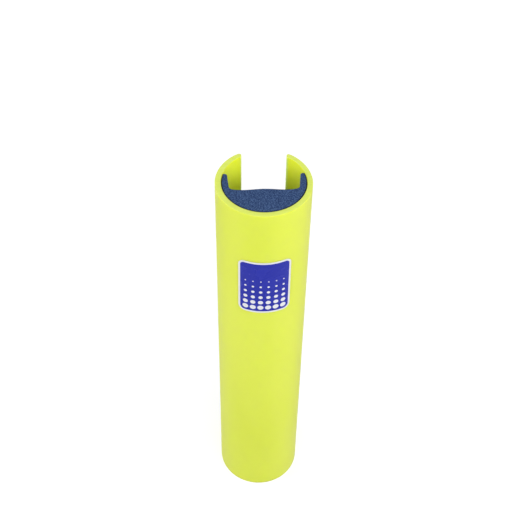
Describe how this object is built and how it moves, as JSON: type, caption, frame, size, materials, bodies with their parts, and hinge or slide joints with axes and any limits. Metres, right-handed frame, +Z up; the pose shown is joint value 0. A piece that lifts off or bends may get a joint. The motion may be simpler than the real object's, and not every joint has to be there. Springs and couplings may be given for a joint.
{
  "type": "rack column guard",
  "caption": "Open-backed plastic tube with a shaped foam insert that pushes on to the upright of a pallet rack and takes the knocks of passing trucks.",
  "frame": {"origin": "on the tube's axis, in the plane of its lower cut end", "axes": "+Z up along the tube, +Y out through the open mouth at the back, -Y towards the traffic, where the pad and the label are, +X to the right as seen from the traffic side"},
  "size_m": [0.119, 0.1111, 0.6],
  "materials": {
    "shell_plastic": "fluorescent yellow polyethylene, soft satin gloss, slightly translucent",
    "insert_foam": "navy closed-cell foam with a fine pale speckle, matte",
    "label_vinyl": "glossy printed vinyl, blue with a white border and rows of white dots that grow towards the foot"
  },
  "bodies": {
    "root": {"guard_shell": "shell_plastic", "foam_insert": "insert_foam", "front_label": "label_vinyl"}
  },
  "joints": []
}
